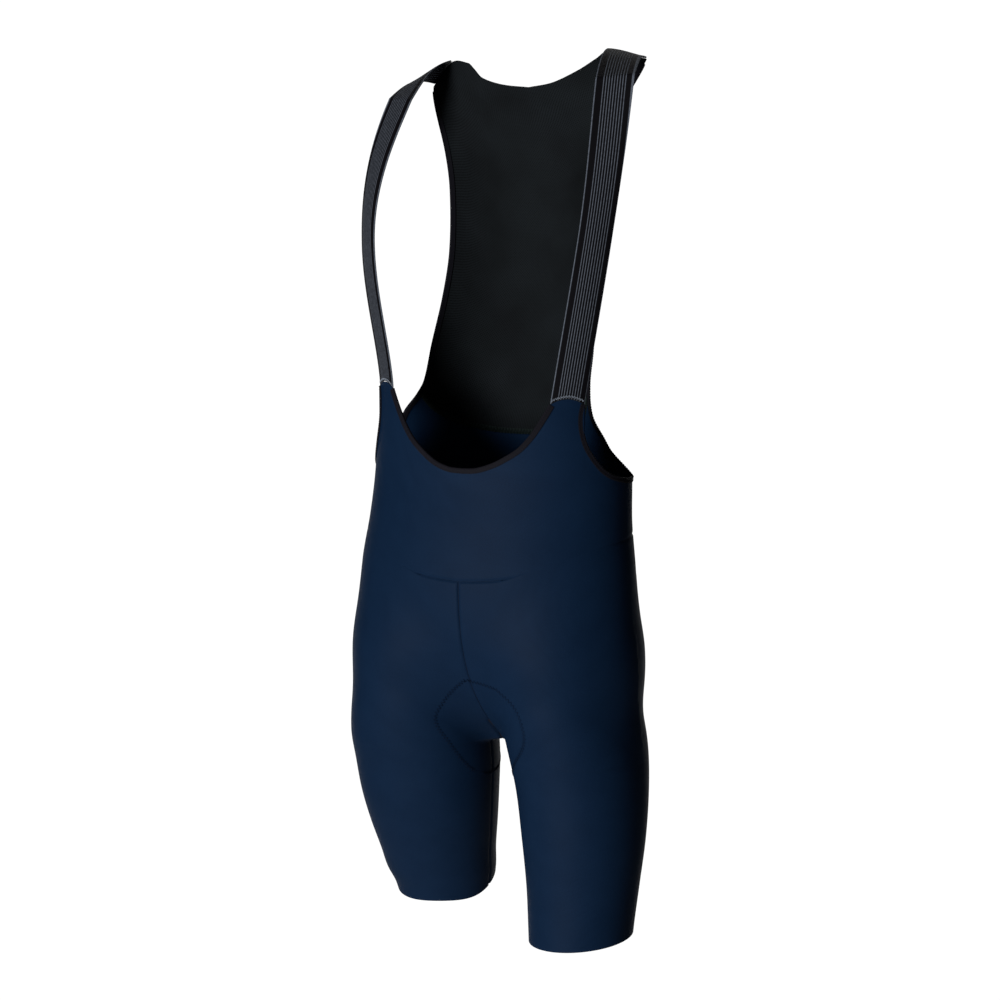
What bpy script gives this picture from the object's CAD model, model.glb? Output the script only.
import math

import bmesh
import bpy
import numpy as np
from mathutils import Matrix, Vector


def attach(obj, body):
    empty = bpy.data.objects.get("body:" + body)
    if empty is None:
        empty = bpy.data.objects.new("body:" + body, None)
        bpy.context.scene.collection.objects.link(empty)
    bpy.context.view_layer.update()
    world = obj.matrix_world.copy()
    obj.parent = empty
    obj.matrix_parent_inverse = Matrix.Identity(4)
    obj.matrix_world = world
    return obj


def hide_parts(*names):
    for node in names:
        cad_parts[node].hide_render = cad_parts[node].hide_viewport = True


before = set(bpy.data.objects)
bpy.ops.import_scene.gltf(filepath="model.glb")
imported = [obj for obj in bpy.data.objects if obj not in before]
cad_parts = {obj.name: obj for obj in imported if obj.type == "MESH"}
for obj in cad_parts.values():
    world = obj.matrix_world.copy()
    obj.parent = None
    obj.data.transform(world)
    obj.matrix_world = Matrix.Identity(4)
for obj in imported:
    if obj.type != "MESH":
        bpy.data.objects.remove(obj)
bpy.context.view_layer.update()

# Looks of a pair of cycling bib shorts in their worn shape. Sizes are in millimetres, and become
# metres where a mesh is made. +Z is up, the front faces -Y, and the wearer's left side faces +X.
# The tables and surfaces are those of the solids, read here on much finer grids.

# Driving sizes
MM = 0.001
CLOTH = 1.1                      # warp knit and mesh, as they show at a cut edge
SEAM_GAP = 0.3
AXIS_Y = -100
SIDE_SEAM_ANGLE = 101
TAB_LEAN = 6
BLEND = 34
CROTCH_Y = 12
CROTCH_FLATNESS = 6
CROTCH_LAP = 2
PELVIS_Z = -610
BACK_FREE = (-480, -400)
BACK_ROUNDING = 2.6
BINDING_WIDTH = 4.4
BINDING_WALL = 0.6
BINDING_LIFT = 0.35
BINDING_FOLD = 0.5
STRAP_WALL = 1.3
STRAP_TAB_GAP = 0.6
STRAP_WIDTH = 37.5
CUT_EDGE = 0.35                  # rounding of a cut edge
STRAP_EDGE = 0.3
TAPE_EDGE = 0.2
SEAM_DIP = {"depth": 0.8, "width": 1.7}
LEG_DIP = {"depth": 1.1, "width": 1.4}
DIP_ROWS = (0.7, 1.5, 2.5, 4.0)  # rows this far from an edge follow its dip
OVERLOCK = {"wide": 6.0, "narrow": 5.0, "lift": 0.35, "crown": 0.5, "wall": 0.4, "edge": 0.1}
STITCHES = {
    "binding": {"spacing": 2.6, "thickness": 0.6},
    "mesh_seam": {"spacing": 1.7, "thickness": 1.0, "half": 3.2},
    "pad": {"spacing": 2.1, "thickness": 0.65, "out": 1.2, "in": 3.4},
    "tab": {"spacing": 1.35, "thickness": 0.6, "lift": 0.35},
}
SIGNS = {"left": 1, "right": -1}
PAD_UNDER = {"edge": 2.9, "middle": 4.0}
PAD_THICK = {"edge": 2.0, "middle": 8.6}
PAD_ANGLES = {"front": 15, "back": 203}

TORSO = {
    "z": (-320, -380, -430, -475, -525, -570, -605, -640, -665, -685, -700, -709),
    "lean": (0, 0, -0.5, -2, -3, -2.5, -1, 0, 0, 0, 0, 0),
    "half": (133, 136, 140.5, 143.5, 150, 151.5, 150, 140, 122, 95, 56, 16),
    "middle": (0, 2, 5, 2, -3, -5, -3, 3, 7, 10, 12, 12),
    "front": (91, 90, 90, 93, 93, 88, 81, 68, 50, 30, 13, 4),
    "back": (84, 83, 86, 92, 103, 107, 107, 98, 83, 60, 33, 10),
}
LEGS = {
    "left": {
        "z": (-530, -600, -655, -705, -750, -800, -850, -890, -940),
        "x": (72, 72, 77, 86, 92.5, 96, 97, 97, 97),
        "y": (2, 0, 2, 5, 4, 0, -4, -8, -12),
        "across": (44, 68, 71, 71, 67.5, 63.5, 58, 54.5, 51),
        "fore": (50, 84, 86, 81, 74, 67, 60, 56, 53),
    },
    "right": {
        "z": (-530, -600, -655, -705, -740, -775, -810, -845, -867, -886, -920),
        "x": (77, 81.5, 87, 92, 92, 92.5, 93, 93, 93, 91, 91),
        "y": (0, 2, 4, 7, 13, 19, 28, 38, 45, 50, 60),
        "across": (44, 70, 76, 78, 77, 74, 69, 62.5, 59.5, 54, 50),
        "fore": (50, 86, 88, 83, 79, 75, 70, 64, 61, 57, 54),
    },
}
HEMS = {
    "left": {"z": -903, "outwards": 0.1, "backwards": 0.02, "dip": 0, "dip_angle": 0},
    "right": {"z": -884, "outwards": -0.1, "backwards": 0.22, "dip": 9, "dip_angle": 20},
}
DIP_SHARPNESS = 4
BACK_EDGES = {
    "left": {
        "z": (0, -20, -47, -98, -138, -201, -249, -299, -337, -368, -392, -404, -416, -429),
        "x": (119, 115, 107, 96, 87, 83, 86, 92, 93, 97, 109, 115, 124, 137),
        "y": (107, 93, 76, 66, 59, 50, 40, 26, 15, 13, 17, 20, 24, 27),
    },
    "right": {
        "z": (0, -15, -28, -50, -98, -138, -201, -249, -299, -337, -352, -371, -392, -429),
        "x": (119, 122, 122, 112, 96, 87, 83, 86, 92, 95, 103, 120, 130, 137),
        "y": (107, 98, 89, 74, 66, 59, 50, 40, 26, 14, 12, 15, 20, 27),
    },
}
SPINE = {
    "z": (0, -34, -60, -100, -180, -280, -345, -390, -429),
    "y": (60, 68, 78, 86, 86, 76, 72, 76, 89),
}
NECKLINE = {
    "angle": (0, 10, 20, 28, 36, 42, 46, 49.5, 52.2),
    "z": (-417, -416, -411, -403.5, -393, -380, -368, -356, -346),
}
TAB_TOP = {
    "angle": (52.2, 56, 60.2, 64, 68),
    "z": (-346, -342, -340.5, -342, -346),
}
FRONT_ARMHOLE = {
    "angle": (68, 67, 67.2, 69, 72.5, 77, 82.5, 91, 101),
    "z": (-346, -357, -370, -385, -399, -412, -421, -428, -429),
}
WAIST_SEAM = {
    "angle": (0, 20, 41, 56, 73, 87, 101, 140, 180),
    "z": (-528, -525.5, -519, -509, -496, -489, -486, -482, -480),
}
BACK_SHOULDER = {"left": 0.7, "right": 0.85}
BACK_NECKLINE = {
    "left": {
        "across": (0, 0.25, 0.48, 0.62, 0.7, 1),
        "z": (-34, -30, -19, -8, 0, -8),
    },
    "right": {
        "across": (0, 0.25, 0.44, 0.52, 0.6, 0.85, 1),
        "z": (-34, -30, -22, -13, -6, -4, -28),
    },
}
ARMHOLE_BOTTOM = -429
MESH_SEAM = {"middle": -392, "edge": -347, "power": 3}
PAD_WIDTHS = {
    "along": (0, 0.04, 0.085, 0.15, 0.26, 0.42, 0.61, 0.8, 0.92, 0.98, 1),
    "left": (34, 58, 70, 76, 66, 56, 72, 86, 76, 48, 20),
    "right": (6, 20, 34, 51, 51, 54, 72, 86, 76, 48, 20),
}
STRAPS = {
    "left": {"crease_z": -32, "bow": 9, "crown": 7, "shoulder_gap": 2.6},
    "right": {"crease_z": -46, "bow": 29, "crown": 9, "shoulder_gap": 3.9},
}
STRAP_CREASE = {"inner": (103, 3), "outer": (138, 19), "outer_lift": 4}
BOW = {"outwards": 0.68, "forwards": 0.73, "ease": 1.25}
NECK_SHARE = 0.45
TAB_SHARE = 0.65
LEG_CROWDING = 0.35


# Tables and small mathematics
def read_curve(keys, values, at):
    """Values of a smooth curve through a table's rows, at an array of places."""
    keys = np.array(keys, float)
    values = np.array(values, float)
    if keys[-1] < keys[0]:
        keys = keys[::-1]
        values = values[::-1]
    slopes = np.empty_like(values)
    slopes[1:-1] = (values[2:] - values[:-2]) / (keys[2:] - keys[:-2])
    slopes[0] = (values[1] - values[0]) / (keys[1] - keys[0])
    slopes[-1] = (values[-1] - values[-2]) / (keys[-1] - keys[-2])
    inside = np.clip(at, keys[0], keys[-1])
    low = np.clip(np.searchsorted(keys, inside, side="right") - 1, 0, len(keys) - 2)
    span = keys[low + 1] - keys[low]
    t = (inside - keys[low]) / span
    start = (1 + 2 * t) * (1 - t) ** 2
    bend = t * (1 - t) ** 2 * span * slopes[low] + t ** 2 * (t - 1) * span * slopes[low + 1]
    return start * values[low] + (1 - start) * values[low + 1] + bend


def read_table(table, key, column, at):
    return read_curve(table[key], table[column], at)


def along_table(table, column, share):
    """A table's column at a share of the way along its rows."""
    rows = len(table[column])
    return read_curve(range(rows), table[column], np.asarray(share) * (rows - 1))


def smooth(start, end, at):
    t = np.clip((np.asarray(at, float) - start) / (end - start), 0, 1)
    return t * t * (3 - 2 * t)


def mix(a, b, share):
    return a + (b - a) * share


def points_of(x, y, z):
    return np.stack(np.broadcast_arrays(x, y, z), axis=-1).astype(float)


def unit(vectors):
    lengths = np.linalg.norm(vectors, axis=-1, keepdims=True)
    return vectors / np.maximum(lengths, 1e-9)


def dot(a, b):
    return np.sum(a * b, axis=-1)


def level_direction(angle):
    turned = np.radians(angle)
    return points_of(np.sin(turned), -np.cos(turned), 0)


# The worn form: below zero inside, above zero outside
def section_distance(dx, dy, half_x, half_y):
    return (np.hypot(dx / half_x, dy / half_y) - 1) * np.minimum(half_x, half_y)


def torso_distance(x, y, z):
    lean, half, middle, front, back = (
        read_table(TORSO, "z", column, z) for column in ("lean", "half", "middle", "front", "back")
    )
    dy = y - middle
    below = CROTCH_FLATNESS * np.maximum(0, TORSO["z"][-1] - z)
    return section_distance(x - lean, dy, half, np.where(dy < 0, front, back)) + below


def leg_distance(side, x, y, z):
    table = LEGS[side]
    middle_x, middle_y, across, fore = (
        read_table(table, "z", column, z) for column in ("x", "y", "across", "fore")
    )
    outwards = x if side == "left" else -x
    above = np.maximum(0, z - table["z"][0])
    return section_distance(outwards - middle_x, y - middle_y, across, fore) + above


def form_distance(points):
    x, y, z = points[..., 0], points[..., 1] - AXIS_Y, points[..., 2]
    torso = torso_distance(x, y, z)
    legs = np.minimum(leg_distance("left", x, y, z), leg_distance("right", x, y, z))
    overlap = np.maximum(BLEND - np.abs(torso - legs), 0) / BLEND
    return np.minimum(torso, legs) - overlap ** 2 * BLEND / 4


def form_normal(points):
    slopes = []
    for axis in range(3):
        step = np.zeros(3)
        step[axis] = 0.5
        slopes.append(form_distance(points + step) - form_distance(points - step))
    return unit(np.stack(slopes, axis=-1))


def cast_out(origins, directions, reach=np.inf):
    """First points of the form met by rays that start inside it, no further than their reach."""
    stride = 5.0
    origins, directions = np.broadcast_arrays(origins, directions)
    reach = np.broadcast_to(reach, origins.shape[:-1])
    far = np.full(origins.shape[:-1], stride)
    for _ in range(80):
        inside = (form_distance(origins + directions * far[..., None]) < 0) & (far <= reach)
        if not inside.any():
            break
        far = np.where(inside, far + stride, far)
    near = far - stride
    for _ in range(16):
        middle = (near + far) / 2
        inside = form_distance(origins + directions * middle[..., None]) < 0
        near = np.where(inside, middle, near)
        far = np.where(inside, far, middle)
    return origins + directions * np.minimum(near, reach)[..., None]


# Surfaces of the cloth
def body_point(angle, z):
    angle, z = np.broadcast_arrays(angle, z)
    return cast_out(points_of(0, AXIS_Y, z), level_direction(angle))


def back_point(across, z):
    """Outer face over the back: across runs from -1 at the right edge to 1 at the left."""
    across, z = np.broadcast_arrays(across, z)
    share = np.abs(across)

    def edge(column):
        left = read_table(BACK_EDGES["left"], "z", column, z)
        right = read_table(BACK_EDGES["right"], "z", column, z)
        return np.where(across < 0, right, left)

    depth = mix(read_table(SPINE, "z", "y", z), edge("y"), share ** BACK_ROUNDING)
    sheet = points_of(across * edge("x"), AXIS_Y + depth, z)
    on_body = smooth(*BACK_FREE, z)[..., None]
    angle = np.where(across < 0, -1, 1) * (180 - share * (180 - SIDE_SEAM_ANGLE))
    low = on_body[..., 0] < 1
    body = sheet.copy()
    body[low] = body_point(angle[low], z[low])
    return body + (sheet - body) * on_body


def surface_normal(surface, a, b, step_a, step_b):
    along_a = surface(a + step_a, b) - surface(a - step_a, b)
    along_b = surface(a, b + step_b) - surface(a, b - step_b)
    normal = unit(np.cross(along_a, along_b))
    point = surface(a, b)
    outwards = normal[..., 0] * point[..., 0] + normal[..., 1] * (point[..., 1] - AXIS_Y)
    return normal * np.where(outwards < 0, -1, 1)[..., None]


def tab_lean(angle):
    return TAB_LEAN * smooth(15, 60, angle) * (1 - smooth(70, 95, angle))


def front_top(share):
    """Angle and height of the front yoke's top edge, from -1 at the right side seam to 1 at the left."""
    side = np.where(share < 0, -1, 1)
    along = np.abs(share)
    on_neck = along < NECK_SHARE
    on_tab = along < TAB_SHARE
    edge = {}
    for column in ("angle", "z"):
        neck = along_table(NECKLINE, column, along / NECK_SHARE)
        tab = along_table(TAB_TOP, column, (along - NECK_SHARE) / (TAB_SHARE - NECK_SHARE))
        armhole = along_table(FRONT_ARMHOLE, column, (along - TAB_SHARE) / (1 - TAB_SHARE))
        edge[column] = np.where(on_neck, neck, np.where(on_tab, tab, armhole))
    return side * edge["angle"], edge["z"] - side * tab_lean(edge["angle"])


def back_top_z(across):
    left = read_table(BACK_NECKLINE["left"], "across", "z", np.abs(across))
    right = read_table(BACK_NECKLINE["right"], "across", "z", np.abs(across))
    return np.where(across < 0, right, left)


def mesh_seam_z(across):
    return mix(MESH_SEAM["middle"], MESH_SEAM["edge"], np.abs(across) ** MESH_SEAM["power"])


def rise_point(angle):
    turned = np.radians(angle)
    return cast_out(points_of(0, AXIS_Y + CROTCH_Y, PELVIS_Z), points_of(0, -np.cos(turned), -np.sin(turned)))


def rise_edge(share, front):
    """Points down the centre front or centre back and under the crotch."""
    straight = 0.35
    seam_z = read_table(WAIST_SEAM, "angle", "z", 0 if front else 180) - SEAM_GAP / 2
    z = mix(seam_z, PELVIS_Z, np.minimum(share / straight, 1))
    level = cast_out(points_of(0, AXIS_Y + CROTCH_Y, z), points_of(0, -1 if front else 1, 0))
    turn = 90 * np.maximum(share - straight, 0) / (1 - straight)
    turned = rise_point(turn if front else 180 - turn)
    return np.where((share < straight)[..., None], level, turned)


def hem_height(side, points):
    hem = HEMS[side]
    sign = SIGNS[side]
    outwards = points[..., 0] * sign - read_table(LEGS[side], "z", "x", hem["z"])
    backwards = points[..., 1] - AXIS_Y - read_table(LEGS[side], "z", "y", hem["z"])
    dip_angle = math.radians(hem["dip_angle"])
    towards_dip = -outwards * math.cos(dip_angle) - backwards * math.sin(dip_angle)
    share = np.maximum(towards_dip / np.hypot(outwards, backwards), 0)
    level = hem["z"] + hem["outwards"] * outwards + hem["backwards"] * backwards
    return level - hem["dip"] * share ** DIP_SHARPNESS


def leg_points(side, rise, down, share):
    """Outer face of a leg panel: rise goes from the waist seam to the crotch, down from there to the hem."""
    sign = SIGNS[side]
    rise, down, share = (a[:, None] if n < 2 else a[None, :] for n, a in enumerate((rise, down, share)))
    front_edge = rise_edge(rise[:, 0], True)[:, None, :]
    back_edge = rise_edge(rise[:, 0], False)[:, None, :]

    def section(column, z):
        return read_table(LEGS[side], "z", column, z)

    crotch_z = rise_point(np.array([90.0]))[0, 2] + CROTCH_LAP
    side_top = read_table(WAIST_SEAM, "angle", "z", 90) - SEAM_GAP / 2
    side_z = mix(side_top, crotch_z - 6, rise ** 0.85)
    origin_x = mix(42, section("x", crotch_z), rise)
    origin_y = mix(0, CROTCH_Y, rise)

    def angle_to(edge):
        return np.degrees(np.arctan2(edge[..., 0] * sign - origin_x, origin_y + AXIS_Y - edge[..., 1]))

    half_gap = math.degrees(SEAM_GAP / 2 / 70)
    back_angle = angle_to(back_edge)
    back_angle = np.where(back_angle < 0, back_angle + 360, back_angle)
    first = np.where(rise < 1, angle_to(front_edge), -90 + half_gap)
    last = np.where(rise < 1, back_angle, 270 - half_gap)
    turned = share - LEG_CROWDING * np.sin(2 * np.pi * share) / (2 * np.pi)
    angle = mix(first, last, turned)
    edge_weight = np.cos(np.pi * turned) ** 2
    edge_z = np.where(turned < 0.5, front_edge[..., 2], back_edge[..., 2])
    rise_z = mix(side_z, np.where(rise < 1, edge_z, crotch_z), edge_weight)
    below = down > 0
    z = rise_z + 0 * angle
    for _ in range(5):
        centre_x = np.where(below, section("x", z), origin_x)
        centre_y = np.where(below, section("y", z), origin_y)
        direction = level_direction(angle) * np.array((sign, 1, 1))
        towards_middle = -direction[..., 0] * sign
        to_middle = (centre_x - SEAM_GAP / 2) / np.where(towards_middle > 1e-6, towards_middle, 1e-6)
        reach = np.where(towards_middle > 1e-6, to_middle, np.inf)
        outer = cast_out(points_of(sign * centre_x, AXIS_Y + centre_y, z), direction, reach)
        hem_z = hem_height(side, outer)
        body_angle = np.abs(np.degrees(np.arctan2(outer[..., 0], AXIS_Y - outer[..., 1])))
        waist_z = read_table(WAIST_SEAM, "angle", "z", body_angle) - SEAM_GAP / 2
        z = np.where(below, mix(rise_z, hem_z, down), np.where(rise == 0, waist_z, rise_z))
    outer[..., 0] = sign * np.maximum(outer[..., 0] * sign, SEAM_GAP / 2)
    return outer


def strap_points(side, across, up):
    """A shoulder strap: up runs from 0 at the tab to 1 at the shoulder crease and 2 at the back."""
    sign = SIGNS[side]
    shape = STRAPS[side]

    def tab(place):
        angle = mix(TAB_TOP["angle"][0], TAB_TOP["angle"][-1], place)
        z = read_table(TAB_TOP, "angle", "z", angle) - sign * tab_lean(angle) + STRAP_TAB_GAP
        return body_point(sign * angle, z)

    def crease(place):
        x = sign * mix(STRAP_CREASE["inner"][0], STRAP_CREASE["outer"][0], place)
        y = AXIS_Y + mix(STRAP_CREASE["inner"][1], STRAP_CREASE["outer"][1], place)
        return points_of(x, y, shape["crease_z"] + STRAP_CREASE["outer_lift"] * (place - 0.5))

    rise = np.minimum(up, 1)
    bowed = shape["bow"] * np.sin(np.pi * rise ** BOW["ease"])
    middle = mix(tab(np.array(0.5)), crease(np.array(0.5)), rise[..., None])
    from_tab = tab(across) - tab(np.array(0.5))
    from_crease = crease(across) - crease(np.array(0.5))
    turned = smooth(0.5, 1, rise)[..., None]
    bow = points_of(sign * BOW["outwards"] * bowed, -BOW["forwards"] * bowed, 0)
    front = middle + mix(from_tab, from_crease, turned) + bow
    over = np.maximum(up - 1, 0)
    share = sign * mix(BACK_SHOULDER[side], 1, across)
    shoulder = back_point(share, back_top_z(share))
    shoulder[..., 2] += shape["shoulder_gap"]
    crown = points_of(0, 0, shape["crown"] * np.sin(np.pi * over))
    top = mix(crease(across), shoulder, over[..., None]) + crown
    return np.where((up <= 1)[..., None], front, top)


def settle(points):
    """Moves points onto the worn form, straight in or out."""
    for _ in range(3):
        normal = form_normal(points)
        here = form_distance(points)
        rate = (form_distance(points + normal * 0.5) - here) / 0.5
        points = points - normal * (here / rate)[..., None]
    return points


def walk_across(starts, distances):
    """Points reached by walking over the form from the middle line, to the left or the right."""
    steps = 12
    heading = points_of(np.where(distances < 0, -1, 1), 0, 0)
    points = starts + 0 * heading
    for _ in range(steps):
        normal = form_normal(points)
        heading = unit(heading - normal * dot(heading, normal)[..., None])
        points = settle(points + heading * (np.abs(distances) / steps)[..., None])
    return points


# Shares along an edge: even, with a few close to both ends, where the cloth dips into its seam
def crowded(count, length, start=True, end=True):
    close = np.array(DIP_ROWS) / length
    clear = close[-1] + 0.3 / count
    even = np.linspace(0, 1, count + 1)
    low = clear if start else 1e-6
    high = 1 - clear if end else 1 - 1e-6
    inner = even[(even > low) & (even < high)]
    first = np.concatenate(((0,), close)) if start else np.zeros(1)
    last = np.concatenate((1 - close[::-1], (1,))) if end else np.ones(1)
    return np.concatenate((first, inner, last))


def run_lengths(points, axis):
    """Distance run along a grid's rows or columns, from its first line."""
    steps = np.linalg.norm(np.diff(points, axis=axis), axis=-1)
    total = np.cumsum(steps, axis=axis)
    start = np.zeros_like(np.take(total, [0], axis=axis))
    return np.concatenate((start, total), axis=axis)


def seam_dip(points, normals, sides, depth=SEAM_DIP["depth"], width=SEAM_DIP["width"]):
    """Sinks a panel's edges a little where they are sewn to their neighbours."""
    across = run_lengths(points, 1)
    up = run_lengths(points, 0)
    distances = {
        "start": across,
        "end": across[:, -1:] - across,
        "bottom": up,
        "top": up[-1:, :] - up,
    }
    dip = np.zeros(points.shape[:2])
    for side in sides:
        dip = np.maximum(dip, depth * np.exp(-(distances[side] / width) ** 2))
    return points - normals * dip[..., None]


# Meshes
def grid_mesh(name, points, outwards, finish):
    """A sheet laid on a grid of points, with a UV map in metres of cloth."""
    rows, columns = points.shape[:2]
    shape = bmesh.new()
    bmesh.ops.create_grid(shape, x_segments=columns - 1, y_segments=rows - 1, size=0.5, calc_uvs=True)
    across = run_lengths(points, 1)
    up = run_lengths(points, 0)
    flat_u = (across - across[:, :1] + np.zeros_like(across)) * MM
    flat_v = up * MM
    places = {}
    for vertex in shape.verts:
        column = round((vertex.co.x + 0.5) * (columns - 1))
        row = round((vertex.co.y + 0.5) * (rows - 1))
        places[vertex.index] = (row, column)
    shape.verts.ensure_lookup_table()
    uv_layer = shape.loops.layers.uv.verify()
    for vertex in shape.verts:
        row, column = places[vertex.index]
        vertex.co = Vector(points[row, column]) * MM
        for loop in vertex.link_loops:
            loop[uv_layer].uv = (flat_u[row, column], flat_v[row, column])
    shape.normal_update()
    facing = sum(vertex.normal.dot(Vector(outwards[places[vertex.index]])) for vertex in shape.verts)
    if facing < 0:
        bmesh.ops.reverse_faces(shape, faces=shape.faces[:])
    return finish_piece(name, shape, finish)


def finish_piece(name, shape, finish):
    """Turns a bmesh into a smooth-shaded piece that rides on the garment."""
    for face in shape.faces:
        face.smooth = True
    data = bpy.data.meshes.new(name)
    shape.to_mesh(data)
    shape.free()
    piece = bpy.data.objects.new(name, data)
    bpy.context.scene.collection.objects.link(piece)
    data.materials.append(finish["material"])
    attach(piece, "root")
    return piece


def thicken(piece, thickness, edge=CUT_EDGE):
    """Gives a sheet its thickness inwards, and softens its cut edges."""
    wall = piece.modifiers.new("thickness", "SOLIDIFY")
    wall.thickness = thickness * MM
    wall.offset = -1
    soft = piece.modifiers.new("soft_edges", "BEVEL")
    soft.width = edge * MM
    soft.segments = 2
    soft.limit_method = "ANGLE"
    soft.angle_limit = math.radians(60)
    soft.harden_normals = True
    return piece


# Materials
def linear(hex_colour):
    """An sRGB hex colour as linear red, green, blue and alpha."""
    channels = [int(hex_colour[start:start + 2], 16) / 255 for start in (1, 3, 5)]
    return (*[c / 12.92 if c <= 0.04045 else ((c + 0.055) / 1.055) ** 2.4 for c in channels], 1.0)


def add(tree, kind, inputs=None, **settings):
    """Adds a node, with its own settings and its inputs set or linked."""
    node = tree.nodes.new(kind)
    for name, value in settings.items():
        setattr(node, name, value)
    for name, value in (inputs or {}).items():
        if isinstance(value, bpy.types.NodeSocket):
            tree.links.new(value, node.inputs[name])
        else:
            node.inputs[name].default_value = value
    return node


def new_material(name):
    material = bpy.data.materials.new(name)
    material.use_nodes = True
    tree = material.node_tree
    tree.nodes.clear()
    shader = add(tree, "ShaderNodeBsdfPrincipled")
    add(tree, "ShaderNodeOutputMaterial", {"Surface": shader.outputs["BSDF"]})
    return material, tree, shader


# Warp-knit nylon and elastane, dyed navy: a close, smooth, nearly matt face. Its fine wales
# are 0.5 mm apart and are drawn at 1.1 mm, so that they show at all.
def warp_knit(name, deep, light):
    material, tree, shader = new_material(name)
    place = add(tree, "ShaderNodeTexCoord")
    cloth = add(tree, "ShaderNodeMapping", {"Vector": place.outputs["UV"], "Scale": (1000, 1000, 1000)})
    wales = add(tree, "ShaderNodeTexWave", {"Vector": cloth.outputs["Vector"], "Scale": 0.285,
                "Distortion": 0.6, "Detail": 1.0, "Detail Scale": 1.4},
                wave_type="BANDS", bands_direction="X")
    flat = cloth.outputs["Vector"]
    grains = add(tree, "ShaderNodeTexNoise", {"Vector": flat, "Scale": 0.9, "Detail": 3.0})
    broad = add(tree, "ShaderNodeTexNoise", {"Vector": flat, "Scale": 0.03, "Detail": 2.0})
    fleck = add(tree, "ShaderNodeMath", {0: grains.outputs["Fac"], 1: wales.outputs["Fac"]},
                operation="MULTIPLY")
    slow = add(tree, "ShaderNodeMapRange", {"Value": broad.outputs["Fac"], "To Min": 0.2, "To Max": 0.45})
    tone = add(tree, "ShaderNodeMath", {0: fleck.outputs[0], 1: slow.outputs["Result"]}, operation="ADD")
    colour = add(tree, "ShaderNodeValToRGB", {"Fac": tone.outputs[0]})
    colour.color_ramp.elements[0].position = 0.25
    colour.color_ramp.elements[0].color = linear(deep)
    colour.color_ramp.elements[1].position = 0.9
    colour.color_ramp.elements[1].color = linear(light)
    height = add(tree, "ShaderNodeMath", {0: wales.outputs["Fac"], 1: grains.outputs["Fac"]},
                 operation="ADD")
    bump = add(tree, "ShaderNodeBump", {"Height": height.outputs[0], "Strength": 0.18, "Distance": 0.0003})
    gloss = add(tree, "ShaderNodeMapRange", {"Value": grains.outputs["Fac"], "To Min": 0.5, "To Max": 0.66})
    tree.links.new(colour.outputs["Color"], shader.inputs["Base Color"])
    tree.links.new(gloss.outputs["Result"], shader.inputs["Roughness"])
    tree.links.new(bump.outputs["Normal"], shader.inputs["Normal"])
    shader.inputs["Specular IOR Level"].default_value = 0.04
    return {"material": material, "slot": "lycra"}


# Open warp-knit mesh, dyed black: rows of small holes 2 mm apart, matt between them
def open_mesh(name, deep, light):
    material, tree, shader = new_material(name)
    place = add(tree, "ShaderNodeTexCoord")
    cloth = add(tree, "ShaderNodeMapping", {"Vector": place.outputs["UV"], "Scale": (500, 500, 500),
                "Rotation": (0, 0, math.radians(45))})
    holes = add(tree, "ShaderNodeTexVoronoi", {"Vector": cloth.outputs["Vector"], "Scale": 1.0,
                "Randomness": 0.12})
    ring = add(tree, "ShaderNodeMapRange", {"Value": holes.outputs["Distance"], "From Min": 0.16,
               "From Max": 0.34}, interpolation_type="SMOOTHSTEP")
    broad = add(tree, "ShaderNodeTexNoise", {"Vector": place.outputs["UV"], "Scale": 14.0, "Detail": 2.0})
    tone = add(tree, "ShaderNodeMath", {0: ring.outputs["Result"], 1: broad.outputs["Fac"]},
               operation="MULTIPLY")
    colour = add(tree, "ShaderNodeValToRGB", {"Fac": tone.outputs[0]})
    colour.color_ramp.elements[0].position = 0.0
    colour.color_ramp.elements[0].color = linear(deep)
    colour.color_ramp.elements[1].position = 0.62
    colour.color_ramp.elements[1].color = linear(light)
    bump = add(tree, "ShaderNodeBump", {"Height": ring.outputs["Result"], "Strength": 0.5,
               "Distance": 0.0004})
    tree.links.new(colour.outputs["Color"], shader.inputs["Base Color"])
    tree.links.new(bump.outputs["Normal"], shader.inputs["Normal"])
    shader.inputs["Roughness"].default_value = 0.85
    shader.inputs["Specular IOR Level"].default_value = 0.08
    return {"material": material, "slot": "mesh"}


# Woven elastic webbing: black rubber-cored weave with ribs across it 1.2 mm apart, and pale grey
# warp lines, one at each edge and nine in the middle, 2.75 mm apart
PINSTRIPES = {"first": 0.225, "last": 0.81, "count": 9}


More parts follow.
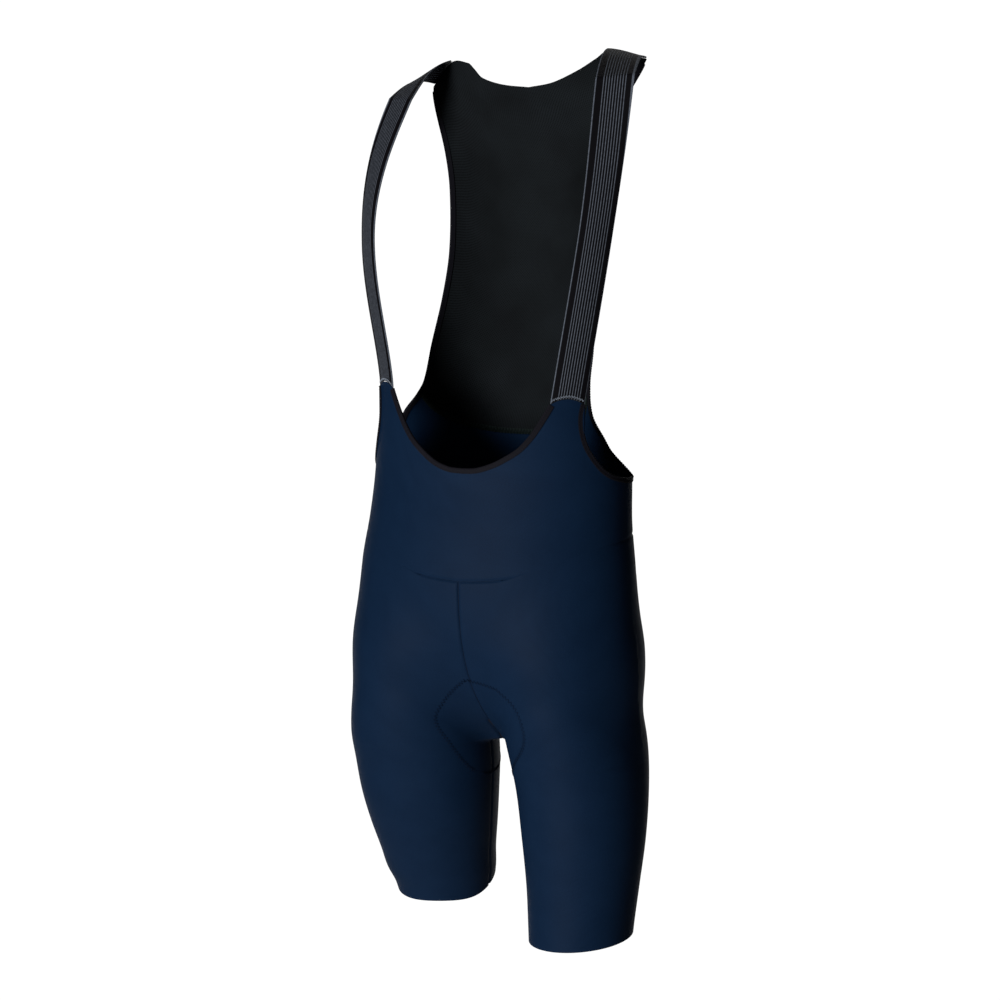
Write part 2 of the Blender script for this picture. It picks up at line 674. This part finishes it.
def striped_webbing(name, ground, line):
    material, tree, shader = new_material(name)
    place = add(tree, "ShaderNodeTexCoord")
    parts = add(tree, "ShaderNodeSeparateXYZ", {"Vector": place.outputs["UV"]})
    across = add(tree, "ShaderNodeMath", {0: parts.outputs["X"], 1: STRAP_WIDTH * MM}, operation="DIVIDE")
    step = (PINSTRIPES["last"] - PINSTRIPES["first"]) / (PINSTRIPES["count"] - 1)
    counted = add(tree, "ShaderNodeMath", {0: across.outputs[0], 1: PINSTRIPES["first"]},
                  operation="SUBTRACT")
    cycle = add(tree, "ShaderNodeMath", {0: counted.outputs[0], 1: step}, operation="DIVIDE")
    nearest = add(tree, "ShaderNodeMath", {0: cycle.outputs[0]}, operation="ROUND")
    inside = add(tree, "ShaderNodeClamp", {"Value": nearest.outputs[0], "Min": 0.0,
                 "Max": PINSTRIPES["count"] - 1.0})
    off = add(tree, "ShaderNodeMath", {0: cycle.outputs[0], 1: inside.outputs[0]}, operation="SUBTRACT")
    miss = add(tree, "ShaderNodeMath", {0: off.outputs[0]}, operation="ABSOLUTE")
    pin = add(tree, "ShaderNodeMapRange", {"Value": miss.outputs[0], "From Min": 0.22, "From Max": 0.07},
              interpolation_type="SMOOTHSTEP")
    centred = add(tree, "ShaderNodeMath", {0: across.outputs[0], 1: 0.5}, operation="SUBTRACT")
    outwards = add(tree, "ShaderNodeMath", {0: centred.outputs[0]}, operation="ABSOLUTE")
    border = add(tree, "ShaderNodeMapRange", {"Value": outwards.outputs[0], "From Min": 0.462,
                 "From Max": 0.474}, interpolation_type="SMOOTHSTEP")
    lines = add(tree, "ShaderNodeMath", {0: pin.outputs["Result"], 1: border.outputs["Result"]},
                operation="MAXIMUM")
    cloth = add(tree, "ShaderNodeMapping", {"Vector": place.outputs["UV"], "Scale": (1000, 1000, 1000)})
    ribs = add(tree, "ShaderNodeTexWave", {"Vector": cloth.outputs["Vector"], "Scale": 0.26,
               "Distortion": 0.3}, wave_type="BANDS", bands_direction="Y")
    worn = add(tree, "ShaderNodeTexNoise", {"Vector": cloth.outputs["Vector"], "Scale": 0.35, "Detail": 3.0})
    broken = add(tree, "ShaderNodeMapRange", {"Value": ribs.outputs["Fac"], "To Min": 0.62, "To Max": 1.0})
    uneven = add(tree, "ShaderNodeMapRange", {"Value": worn.outputs["Fac"], "From Min": 0.25,
                 "From Max": 0.6, "To Min": 0.55, "To Max": 1.0})
    strength = add(tree, "ShaderNodeMath", {0: broken.outputs["Result"], 1: uneven.outputs["Result"]},
                   operation="MULTIPLY")
    share = add(tree, "ShaderNodeMath", {0: lines.outputs[0], 1: strength.outputs[0]},
                operation="MULTIPLY")
    colour = add(tree, "ShaderNodeMix", {"Factor": share.outputs[0], 6: linear(ground), 7: linear(line)},
                 data_type="RGBA")
    raised = add(tree, "ShaderNodeMath", {0: ribs.outputs["Fac"], 1: lines.outputs[0]}, operation="ADD")
    bump = add(tree, "ShaderNodeBump", {"Height": raised.outputs[0], "Strength": 0.35, "Distance": 0.0004})
    tree.links.new(colour.outputs[2], shader.inputs["Base Color"])
    tree.links.new(bump.outputs["Normal"], shader.inputs["Normal"])
    shader.inputs["Roughness"].default_value = 0.62
    shader.inputs["Specular IOR Level"].default_value = 0.08
    return {"material": material, "slot": "webbing"}


# Yarns and tapes: one twisted or ribbed thread finish, with ridges at the given spacing
def thread_finish(name, slot, deep, light, ridges, roughness):
    material, tree, shader = new_material(name)
    place = add(tree, "ShaderNodeTexCoord")
    ridge = add(tree, "ShaderNodeTexWave", {"Vector": place.outputs["Object"], "Scale": ridges,
                "Distortion": 1.2, "Detail": 1.0}, wave_type="BANDS", bands_direction="DIAGONAL")
    colour = add(tree, "ShaderNodeMix", {"Factor": ridge.outputs["Fac"], 6: linear(deep), 7: linear(light)},
                 data_type="RGBA")
    bump = add(tree, "ShaderNodeBump", {"Height": ridge.outputs["Fac"], "Strength": 0.3,
               "Distance": 0.0002})
    tree.links.new(colour.outputs[2], shader.inputs["Base Color"])
    tree.links.new(bump.outputs["Normal"], shader.inputs["Normal"])
    shader.inputs["Roughness"].default_value = roughness
    shader.inputs["Specular IOR Level"].default_value = 0.06
    return {"material": material, "slot": slot}


NAVY_KNIT = warp_knit("navy_warp_knit", "#06162a", "#12263f")
BLACK_MESH = open_mesh("black_open_mesh", "#050607", "#171b1e")
WEBBING = striped_webbing("striped_elastic_webbing", "#0b0a0e", "#6f7682")
BLACK_TAPE = thread_finish("black_elastic_tape", "tape", "#0a0a0e", "#1b1a21", 420.0, 0.7)
NAVY_THREAD = thread_finish("navy_polyester_thread", "lycra", "#050d1c", "#0b1c33", 700.0, 0.6)
BLACK_THREAD = thread_finish("black_polyester_thread", "tape", "#0b0b0f", "#24232b", 700.0, 0.6)
GREY_THREAD = thread_finish("grey_polyester_thread", "webbing", "#5c6470", "#a1a9b5", 700.0, 0.6)
GREEN_BLACK_THREAD = thread_finish("overlock_thread", "tape", "#0a1112", "#26302f", 700.0, 0.65)
PAD_FACE = thread_finish("brushed_pad_face", "foam", "#141c26", "#1e2936", 260.0, 0.9)


# Cloth panels
def front_points():
    shares = crowded(260, 480) * 2 - 1
    ups = crowded(48, 110)
    top_angle, top_z = front_top(shares)
    bottom_angle = shares * SIDE_SEAM_ANGLE
    bottom_z = read_table(WAIST_SEAM, "angle", "z", np.abs(bottom_angle)) + SEAM_GAP / 2
    reach = 1 - math.degrees(SEAM_GAP / 2 / 138) / SIDE_SEAM_ANGLE
    angle = mix(bottom_angle[None, :], top_angle[None, :], ups[:, None]) * reach
    z = mix(bottom_z[None, :], top_z[None, :], ups[:, None])
    return body_point(angle, z)


def low_back_points():
    columns = (crowded(150, 330) * 2 - 1) * (1 - SEAM_GAP / 2 / 138)
    ups = crowded(60, 95)
    angle = 180 - np.abs(columns) * (180 - SIDE_SEAM_ANGLE)
    bottom_z = read_table(WAIST_SEAM, "angle", "z", angle) + SEAM_GAP / 2
    top_z = mesh_seam_z(columns) - SEAM_GAP / 2
    middle_z = mix(mix(bottom_z, top_z, 1 / 3), ARMHOLE_BOTTOM, np.abs(columns) ** 4)
    low = np.minimum(ups[:, None] * 3, 1)
    high = np.maximum(ups[:, None] * 3 - 1, 0) / 2
    z = mix(mix(bottom_z, middle_z, low), top_z, high)
    across = np.broadcast_to(columns, z.shape)
    return across, z


def mesh_points():
    columns = crowded(130, 220) * 2 - 1
    ups = crowded(150, 360)
    top_z = back_top_z(columns)
    z = mix((mesh_seam_z(columns) + SEAM_GAP / 2)[None, :], top_z[None, :], ups[:, None])
    return np.broadcast_to(columns, z.shape), z


def make_panel(name, node, laid, normals, finish, wall=CLOTH, edge=CUT_EDGE):
    """A thickened sheet that stands for a node, with the flat size of what shows, in metres."""
    piece = thicken(grid_mesh(name, laid, normals, finish), wall, edge)
    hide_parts(node)


def make_front_yoke():
    points = front_points()
    normals = form_normal(points)
    laid = seam_dip(points, normals, ("start", "end", "bottom"))
    make_panel("front_yoke_cloth", "front_yoke", laid, normals, NAVY_KNIT)


def make_back_yoke():
    across, z = low_back_points()
    points = back_point(across, z)
    normals = surface_normal(back_point, across, z, 0.01, 1)
    laid = seam_dip(points, normals, ("start", "end", "bottom", "top"))
    make_panel("back_yoke_cloth", "back_yoke", laid, normals, NAVY_KNIT)


def make_back_panel():
    across, z = mesh_points()
    points = back_point(across, z)
    normals = surface_normal(back_point, across, z, 0.01, 1)
    laid = seam_dip(points, normals, ("bottom",))
    make_panel("back_panel_mesh", "back_panel", laid, normals, BLACK_MESH)


def make_leg(side):
    rises = crowded(90, 320, end=False)
    downs = crowded(90, 190, start=False)[1:]
    rise = np.concatenate((rises, np.ones_like(downs)))
    down = np.concatenate((np.zeros_like(rises), downs))
    points = leg_points(side, rise, down, crowded(190, 430))
    normals = form_normal(points)
    laid = seam_dip(points, normals, ("start", "end", "bottom"), **LEG_DIP)
    sign = SIGNS[side]
    laid[..., 0] = sign * np.maximum(laid[..., 0] * sign, SEAM_GAP / 2)
    make_panel("leg_" + side + "_cloth", "leg_" + side, laid, normals, NAVY_KNIT)


def make_strap(side):
    ups = np.concatenate((np.linspace(0, 1, 150), 1 + np.linspace(0, 1, 60)[1:]))
    across, up = np.broadcast_arrays(np.linspace(0, 1, 21)[None, :], ups[:, None])
    points = strap_points(side, across, up)
    along = np.gradient(points, axis=0)
    width = np.gradient(points, axis=1)
    normals = unit(np.cross(width, along)) * SIGNS[side]
    make_panel("strap_" + side + "_webbing", "strap_" + side, points, normals, WEBBING,
               STRAP_WALL, STRAP_EDGE)


# Bindings: a tape folded over an edge
def edge_of(surface, a, b, step_a, step_b, towards):
    """Points, normals and hemmed lines for a binding on one edge of a surface."""
    point = surface(a, b)
    normal = surface_normal(surface, a, b, step_a, step_b)
    tangent = unit(np.gradient(point, axis=0))
    inwards = unit(np.cross(normal, tangent))
    inwards *= np.where(dot(inwards, towards) < 0, -1, 1)[..., None]
    target = point + inwards * BINDING_WIDTH
    for _ in range(5):
        here = surface(a, b)
        along_a = (surface(a + step_a, b) - here) / step_a
        along_b = (surface(a, b + step_b) - here) / step_b
        miss = target - here
        aa, ab, bb = dot(along_a, along_a), dot(along_a, along_b), dot(along_b, along_b)
        ma, mb = dot(miss, along_a), dot(miss, along_b)
        a, b = a + (ma * bb - mb * ab) / (aa * bb - ab * ab), b + (mb * aa - ma * ab) / (aa * bb - ab * ab)
    return {
        "point": point,
        "normal": normal,
        "inwards": inwards,
        "hemmed": surface(a, b),
        "hemmed_normal": surface_normal(surface, a, b, step_a, step_b),
    }


def join_edges(*edges):
    return {key: np.concatenate([edge[key] for edge in edges]) for key in edges[0]}


def neck_edge():
    shares = np.linspace(-NECK_SHARE, NECK_SHARE, 161)
    angle, z = front_top(shares)
    return edge_of(body_point, angle, z, 0.4, 1.0, np.array((0, 0, -1.0)))


def armhole_edge(side):
    sign = SIGNS[side]
    shares = sign * np.linspace(TAB_SHARE, 0.995, 60)
    angle, z = front_top(shares)
    front = edge_of(body_point, angle, z, 0.4, 1.0, np.array((-sign * 0.6, 0, -0.8)))
    top = back_top_z(sign) - 6
    heights = np.linspace(ARMHOLE_BOTTOM, top, 180)
    back = edge_of(back_point, np.full(180, float(sign)), heights, 0.005, 1.0, np.array((-sign, 0, -0.5)))
    return join_edges(front, back)


def binding_section(edge, lift, fold):
    """Rows of a folded tape: over the outer face, round the edge and inside."""
    point, normal, inwards = edge["point"], edge["normal"], edge["inwards"]
    hemmed, hemmed_normal = edge["hemmed"], edge["hemmed_normal"]
    rows = [hemmed + hemmed_normal * lift]
    for share in (0.75, 0.5, 0.25, 0.08):
        rows.append(mix(point, hemmed, share) + unit(mix(normal, hemmed_normal, share)) * lift)
    half = CLOTH / 2 + lift
    for turn in (90, 60, 30, 0, -30, -60, -90):
        out = math.cos(math.radians(turn)) * fold
        over = math.sin(math.radians(turn)) * half - CLOTH / 2
        rows.append(point - inwards * out + normal * over)
    for share in (0.08, 0.25, 0.5, 0.75):
        rows.append(mix(point, hemmed, share) - unit(mix(normal, hemmed_normal, share)) * (CLOTH + lift))
    rows.append(hemmed - hemmed_normal * (CLOTH + lift))
    return np.stack(rows, axis=0)


def make_binding(name, edge, node):
    points = binding_section(edge, BINDING_LIFT + BINDING_WALL, BINDING_FOLD + BINDING_WALL)
    core = binding_section(edge, -CLOTH / 2, 0.0)
    piece = thicken(grid_mesh(name, points, points - core, BLACK_TAPE), BINDING_WALL, TAPE_EDGE)
    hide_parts(node)


# Stitches: short twisted threads, laid end to end or side by side
def make_stitches(name, finish, starts, ends, normals, thickness):
    """One small spindle of thread from each start to its end, lying on the cloth."""
    shape = bmesh.new()
    for start, end, normal in zip(starts, ends, normals):
        along = Vector(end) - Vector(start)
        length = along.length
        x_axis = along.normalized()
        z_axis = (Vector(normal) - x_axis * x_axis.dot(Vector(normal))).normalized()
        y_axis = z_axis.cross(x_axis)
        turned = Matrix((x_axis, y_axis, z_axis)).transposed().to_4x4()
        size = Matrix.Diagonal((length * 0.56, thickness / 2, thickness / 2, 1))
        centre = (Vector(start) + Vector(end)) / 2 + z_axis * thickness * 0.2
        placed = Matrix.Translation(centre * MM) @ Matrix.Scale(MM, 4) @ turned @ size
        bmesh.ops.create_icosphere(shape, subdivisions=1, radius=1, matrix=placed)
    finish_piece(name, shape, finish)


def resample(line, spacing):
    """Places along a line at even spacing, as row numbers with fractions."""
    run = run_lengths(line, 0)
    count = max(int(run[-1] / spacing), 2)
    return np.interp(np.linspace(0, run[-1], count + 1), run, np.arange(len(line)))


def at_rows(values, rows):
    low = np.clip(np.floor(rows).astype(int), 0, len(values) - 2)
    return mix(values[low], values[low + 1], (rows - low)[:, None])


def stitch_row(line, normals, spacing, share=0.72):
    """Starts, ends and normals of a row of straight stitches along a line."""
    rows = resample(line, spacing)
    starts = at_rows(line, rows[:-1])
    ends = at_rows(line, rows[1:])
    return starts, mix(starts, ends, share), at_rows(normals, rows[:-1])


def zigzag_row(first, second, normals, spacing):
    """Stitches that run to and fro between two lines."""
    rows = resample(first, spacing)
    a = at_rows(first, rows)
    b = at_rows(second, rows)
    starts = np.concatenate((a[:-1:2], b[1:-1:2]))
    ends = np.concatenate((b[1::2], a[2::2]))
    count = min(len(starts), len(ends))
    middle = np.concatenate((rows[:-1:2], rows[1:-1:2]))[:count]
    return starts[:count], ends[:count], at_rows(normals, middle)


def joined(*rows):
    return [np.concatenate(parts) for parts in zip(*rows)]


def binding_stitches(name, edge):
    """Two rows of cover stitch along a binding."""
    rows = []
    for share in (0.1, 0.78):
        normals = unit(mix(edge["normal"], edge["hemmed_normal"], share))
        line = mix(edge["point"], edge["hemmed"], share) + normals * (BINDING_LIFT + BINDING_WALL)
        rows.append(stitch_row(line, normals, STITCHES["binding"]["spacing"]))
    make_stitches(name, BLACK_THREAD, *joined(*rows), STITCHES["binding"]["thickness"])


# Seams on the inside: a narrow overlocked strip that lies over each joint
def seam_strip(name, line, normals, sideways, width, finish):
    across = np.linspace(-0.5, 0.5, 7)[:, None, None] * width
    inside = line - normals * (CLOTH + OVERLOCK["lift"])
    crown = -normals[None] * (OVERLOCK["crown"] * (1 - (across / width * 2) ** 2))
    points = inside[None] + sideways[None] * across + crown
    strip = grid_mesh(name, points, -np.broadcast_to(normals, points.shape), finish)
    thicken(strip, OVERLOCK["wall"], OVERLOCK["edge"])


def sideways_of(line, normals):
    return unit(np.cross(normals, np.gradient(line, axis=0)))


def overlock(name, line, width, finish):
    """A seam strip along a line on the body's form."""
    normals = form_normal(line)
    seam_strip(name, line, normals, sideways_of(line, normals), width, finish)


def make_mesh_seam():
    across = np.linspace(-0.985, 0.985, 189)
    line = back_point(across, mesh_seam_z(across))
    normals = surface_normal(back_point, across, mesh_seam_z(across), 0.01, 1)
    sideways = sideways_of(line, normals)
    seam_strip("mesh_seam_overlock", line, normals, sideways, OVERLOCK["wide"], GREEN_BLACK_THREAD)
    threads = STITCHES["mesh_seam"]
    inside = line - normals * (CLOTH + 1.3)
    half = sideways * threads["half"]
    rows = zigzag_row(inside - half, inside + half, -normals, threads["spacing"])
    make_stitches("mesh_seam_threads", GREEN_BLACK_THREAD, *rows, threads["thickness"])


def make_waist_seam():
    angle = np.linspace(0, 360, 361)
    folded = np.where(angle > 180, 360 - angle, angle)
    line = body_point(angle, read_table(WAIST_SEAM, "angle", "z", folded))
    overlock("waist_seam_overlock", line, OVERLOCK["wide"], NAVY_THREAD)


def make_rise_seam():
    share = np.linspace(0, 1, 90)
    line = np.concatenate((rise_edge(share, True), rise_edge(share, False)[-2::-1]))
    sideways = points_of(np.ones(len(line)), 0, 0)
    seam_strip("rise_seam_overlock", line, form_normal(line), sideways, OVERLOCK["narrow"], BLACK_THREAD)


def make_inseam(side):
    down = np.linspace(0, 0.99, 70)
    line = np.reshape(leg_points(side, np.ones(1), down, np.zeros(1)), (-1, 3))
    overlock("inseam_overlock_" + side, line, OVERLOCK["narrow"], BLACK_THREAD)


def make_shoulder_seam(side):
    across = np.linspace(0.02, 0.98, 24)
    line = strap_points(side, across, np.full(24, 2.0))
    ahead = unit(line - strap_points(side, across, np.full(24, 1.97)))
    normals = unit(np.cross(np.gradient(line, axis=0), ahead)) * SIGNS[side]
    seam_strip("shoulder_overlock_" + side, line, normals, ahead, OVERLOCK["wide"], BLACK_THREAD)


def make_side_seam(side):
    z = np.linspace(-484, ARMHOLE_BOTTOM - 4, 30)
    line = body_point(np.full(30, float(SIGNS[side] * SIDE_SEAM_ANGLE)), z)
    overlock("side_seam_overlock_" + side, line, OVERLOCK["narrow"], NAVY_THREAD)


# Seat pad: a moulded insert of foam in brushed knit, inside the legs
def pad_middle(along):
    return rise_point(mix(PAD_ANGLES["front"], PAD_ANGLES["back"], along))


def pad_reach(along, share):
    left = read_table(PAD_WIDTHS, "along", "left", along)
    right = read_table(PAD_WIDTHS, "along", "right", along)
    return np.where(share < 0, right, left)


def pad_surface(along, share):
    return walk_across(pad_middle(along), share * pad_reach(along, share))


def make_seat_pad():
    rows, columns = 96, 61
    along, share = np.broadcast_arrays(
        np.linspace(0, 1, rows)[:, None], np.linspace(-1, 1, columns)[None, :])
    on_form = pad_surface(along, share)
    normals = form_normal(on_form)
    crown = (1 - share ** 4) * (1 - (2 * along - 1) ** 6)
    under = mix(PAD_UNDER["edge"], PAD_UNDER["middle"], crown)
    side_channel = np.exp(-((np.abs(share) - 0.52) / 0.05) ** 2) * smooth(0.05, 0.2, along)
    middle_channel = np.exp(-(share / 0.05) ** 2) * smooth(0.2, 0.35, along)
    cross_channel = np.exp(-((along - 0.62 - 0.06 * share ** 2) / 0.016) ** 2)
    cross_channel *= smooth(1.0, 0.7, np.abs(share))
    groove = np.maximum(np.maximum(side_channel, middle_channel), cross_channel * 0.7)
    thick = mix(PAD_THICK["edge"], PAD_THICK["middle"], crown) * (1 - 0.42 * groove)
    top = on_form - normals * (under + thick)[..., None]
    bottom = on_form - normals * under[..., None]
    points = np.concatenate((bottom, top[:, ::-1]), axis=1)
    points = np.concatenate((points, points[:, :1]), axis=1)
    middle = (bottom + top) / 2
    core = np.concatenate((middle, middle[:, ::-1], middle[:, :1]), axis=1)
    piece = grid_mesh("seat_pad_insert", points, points - core, PAD_FACE)
    close_ends(piece)
    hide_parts("seat_pad")


def close_ends(piece):
    """Merges the seam of a tube-like grid and fills its two open ends."""
    shape = bmesh.new()
    shape.from_mesh(piece.data)
    bmesh.ops.remove_doubles(shape, verts=shape.verts[:], dist=0.02 * MM)
    rims = [edge for edge in shape.edges if edge.is_boundary]
    bmesh.ops.holes_fill(shape, edges=rims, sides=0)
    for face in shape.faces:
        face.smooth = True
    shape.to_mesh(piece.data)
    shape.free()


def make_pad_outline():
    """The pad's stitching as it shows on the outside of the legs: a band of short slanted stitches."""
    down_side = np.linspace(0, 1, 160)
    over_end = np.linspace(-1, 1, 60)[1:-1]
    along = np.concatenate((down_side, np.ones(58), down_side[::-1], np.zeros(58)))
    share = np.concatenate((-np.ones(160), over_end, np.ones(160), over_end[::-1]))
    outline = walk_across(pad_middle(along), share * pad_reach(along, share))
    middle = pad_surface(np.array(0.5), np.array(0.0))
    normals = form_normal(outline)
    ahead = np.roll(outline, -2, axis=0) - np.roll(outline, 2, axis=0)
    inwards = unit(np.cross(normals, ahead))
    inwards *= np.sign(np.median(dot(inwards, middle - outline)))
    threads = STITCHES["pad"]
    outer_line = settle(outline - inwards * threads["out"]) + normals * 0.1
    inner_line = settle(outline + inwards * threads["in"]) + normals * 0.1
    rows = zigzag_row(outer_line, inner_line, normals, threads["spacing"])
    make_stitches("pad_outline_stitches", NAVY_THREAD, *rows, threads["thickness"])


def make_tab_stitches(side):
    """Grey zigzag where a strap is sewn to its tab."""
    across = np.linspace(0.03, 0.97, 60)
    line = strap_points(side, across, np.full(60, 0.004))
    above = strap_points(side, across, np.full(60, 0.0125))
    normals = form_normal(line)
    threads = STITCHES["tab"]
    raised = normals * threads["lift"]
    rows = zigzag_row(line + raised, above + raised, normals, threads["spacing"])
    make_stitches("tab_stitches_" + side, GREY_THREAD, *rows, threads["thickness"])


# The garment
make_front_yoke()
make_back_yoke()
make_back_panel()
for side in ("left", "right"):
    make_leg(side)
    make_strap(side)
    armhole = armhole_edge(side)
    make_binding("armhole_tape_" + side, armhole, "armhole_binding_" + side)
    binding_stitches("armhole_stitches_" + side, armhole)
    make_side_seam(side)
    make_inseam(side)
    make_shoulder_seam(side)
    make_tab_stitches(side)
neck = neck_edge()
make_binding("neck_tape", neck, "neck_binding")
binding_stitches("neck_stitches", neck)
make_mesh_seam()
make_waist_seam()
make_rise_seam()
make_seat_pad()
make_pad_outline()


# Setting: a plain pale floor well below the hanging shorts, a lit white wall 4 m behind them, a soft
# key light from the left of the camera and a weaker one from behind
FLOOR = {"z": -2.9, "size": 30}
WALL = {"distance": 4.0, "drop": 0.55, "half_size": (2.5, 2.1)}
CAMERA = {"azimuth": 26, "elevation": 7, "distance": 2.0, "target": (0, -0.1, -0.457), "span": 1.03}
SURROUND = 0.035
LIGHTS = {
    "key": {"from": (-10, -2, 3.4), "size": (0.9, 1.7), "power": 125},
    "back": {"from": (205, 40, 3.0), "size": (1.5, 1.5), "power": 8},
}


def camera_place(azimuth, elevation, distance):
    """A place at an angle and distance from the camera's target."""
    turn, rise = math.radians(azimuth), math.radians(elevation)
    away = Vector((math.sin(turn) * math.cos(rise), -math.cos(turn) * math.cos(rise), math.sin(rise)))
    return Vector(CAMERA["target"]) + away * distance


def make_plane(name, placed, material):
    """A flat piece of the setting, not of the garment."""
    shape = bmesh.new()
    bmesh.ops.create_grid(shape, x_segments=1, y_segments=1, size=1, matrix=placed)
    data = bpy.data.meshes.new(name)
    shape.to_mesh(data)
    shape.free()
    plane = bpy.data.objects.new(name, data)
    bpy.context.scene.collection.objects.link(plane)
    data.materials.append(material)


def make_floor():
    material, _, shader = new_material("matt_white_paper")
    shader.inputs["Base Color"].default_value = linear("#f2f2f2")
    shader.inputs["Roughness"].default_value = 0.95
    placed = Matrix.Translation((0, 0, FLOOR["z"])) @ Matrix.Scale(FLOOR["size"], 4)
    make_plane("floor", placed, material)


def make_backdrop():
    """A white wall, lit evenly."""
    material, _, shader = new_material("lit_white_wall")
    shader.inputs["Base Color"].default_value = linear("#000000")
    shader.inputs["Emission Color"].default_value = linear("#ffffff")
    shader.inputs["Emission Strength"].default_value = 1.05
    shader.inputs["Specular IOR Level"].default_value = 0
    drop = Vector((0, 0, WALL["drop"]))
    place = camera_place(CAMERA["azimuth"] + 180, 0, WALL["distance"]) - drop
    turned = (Vector(CAMERA["target"]) - drop - place).to_track_quat("-Z", "Y").to_matrix().to_4x4()
    size = Matrix.Diagonal((*WALL["half_size"], 1, 1))
    make_plane("backdrop", Matrix.Translation(place) @ turned @ size, material)


def make_surround(strength):
    world = bpy.data.worlds.new("pale_surround")
    bpy.context.scene.world = world
    world.use_nodes = True
    tree = world.node_tree
    tree.nodes.clear()
    glow = add(tree, "ShaderNodeBackground", {"Color": linear("#ffffff"), "Strength": strength})
    add(tree, "ShaderNodeOutputWorld", {"Surface": glow.outputs["Background"]})


def aim(item, place, target):
    item.location = place
    item.rotation_mode = "QUATERNION"
    item.rotation_quaternion = (Vector(target) - Vector(place)).to_track_quat("-Z", "Y")


def make_light(name, place, target, size, power):
    lamp = bpy.data.lights.new(name, "AREA")
    lamp.shape = "RECTANGLE"
    lamp.size, lamp.size_y = size
    lamp.energy = power
    light = bpy.data.objects.new(name, lamp)
    bpy.context.scene.collection.objects.link(light)
    aim(light, place, target)


def make_camera():
    data = bpy.data.cameras.new("camera")
    data.sensor_width = 36
    data.lens = data.sensor_width * CAMERA["distance"] / CAMERA["span"]
    camera = bpy.data.objects.new("camera", data)
    bpy.context.scene.collection.objects.link(camera)
    aim(camera, camera_place(CAMERA["azimuth"], CAMERA["elevation"], CAMERA["distance"]), CAMERA["target"])
    bpy.context.scene.camera = camera


bpy.context.scene.view_settings.view_transform = "Standard"
make_floor()
make_backdrop()
make_surround(SURROUND)
for name, light in LIGHTS.items():
    make_light(name, camera_place(*light["from"]), CAMERA["target"], light["size"], light["power"])
make_camera()
